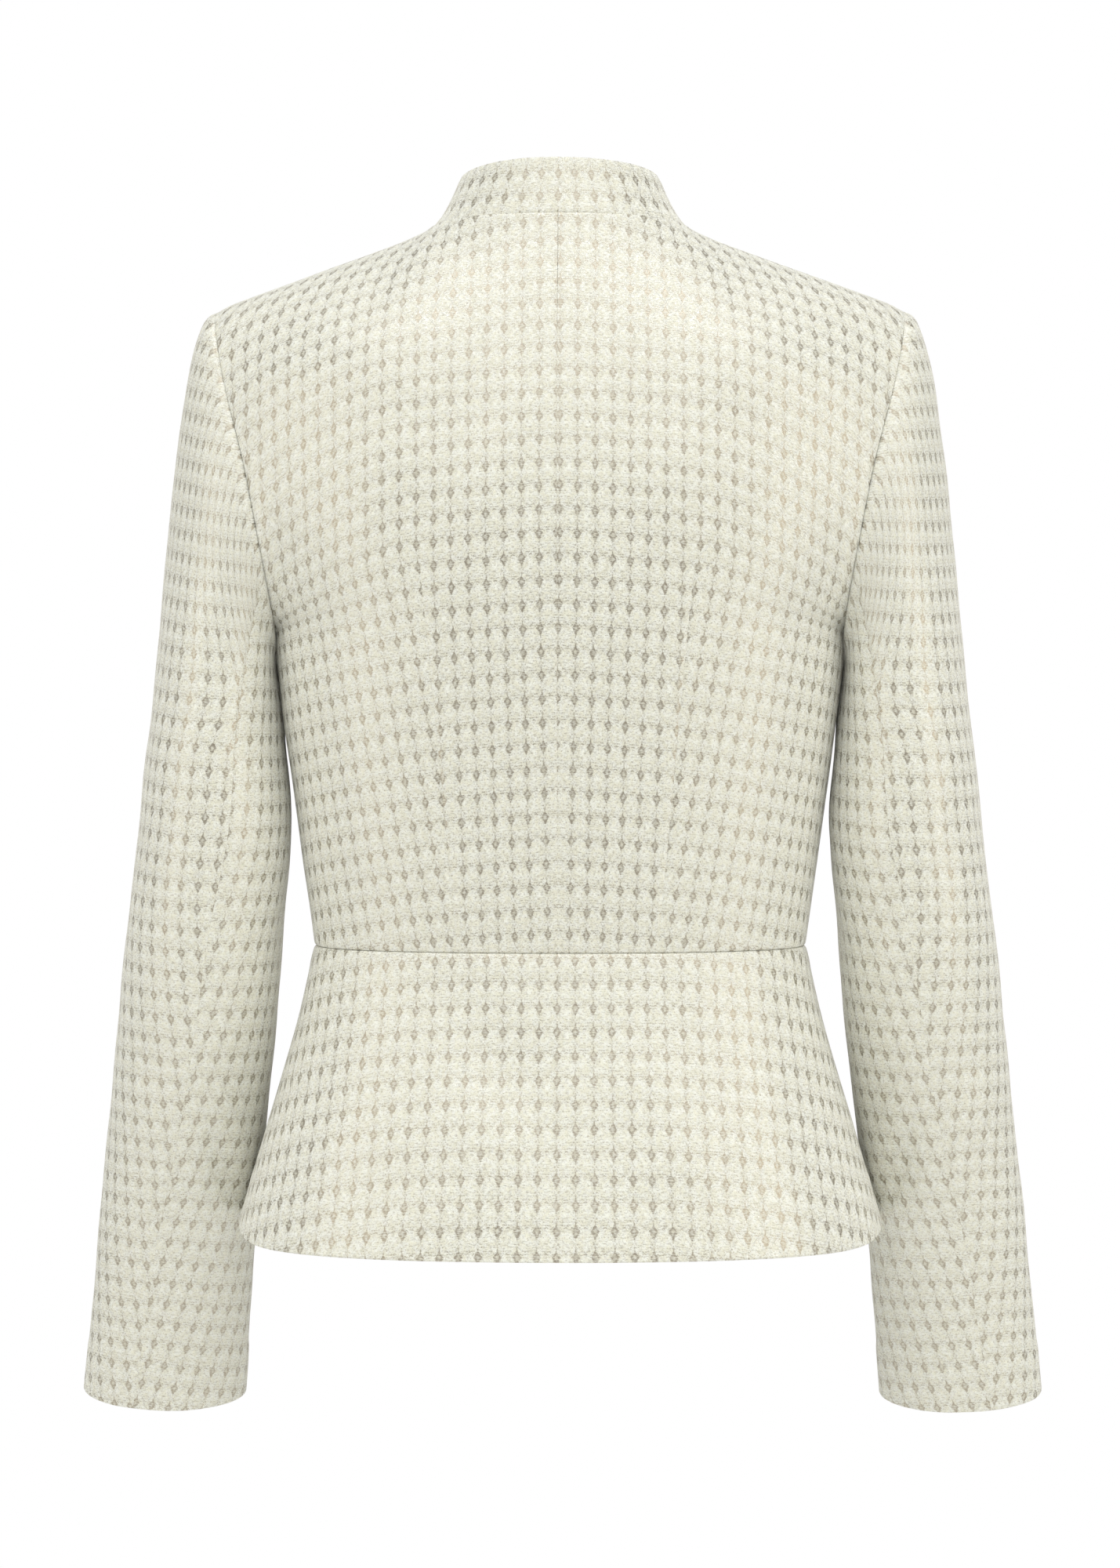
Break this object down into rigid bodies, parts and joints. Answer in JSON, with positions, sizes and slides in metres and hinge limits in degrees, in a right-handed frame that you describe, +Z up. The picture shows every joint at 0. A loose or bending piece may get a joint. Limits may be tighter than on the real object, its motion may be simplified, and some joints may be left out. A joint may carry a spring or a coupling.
{
  "type": "mandarin collar jacket",
  "caption": "Fitted cropped jacket with a stand collar, two-piece sleeves and a flared peplum, in cream diamond jacquard, held in its worn hollow shape.",
  "frame": {"origin": "middle of the neck seam, on the wearer's neck axis, level with the back neck seam, where the wearer's neck and shoulders hold the jacket up", "axes": "+Z up along the wearer's back, -Y towards the wearer's front, +X towards the wearer's left"},
  "size_m": [0.5558, 0.2468, 0.707],
  "materials": {
    "jacquard": "matt cream crepe jacquard with small metallic-thread diamonds"
  },
  "bodies": {
    "root": {"back_left": "jacquard", "back_right": "jacquard", "front_left": "jacquard", "front_right": "jacquard", "peplum_back": "jacquard", "peplum_front_left": "jacquard", "peplum_front_right": "jacquard", "collar": "jacquard", "upper_sleeve_left": "jacquard", "upper_sleeve_right": "jacquard", "under_sleeve_left": "jacquard", "under_sleeve_right": "jacquard"}
  },
  "joints": []
}
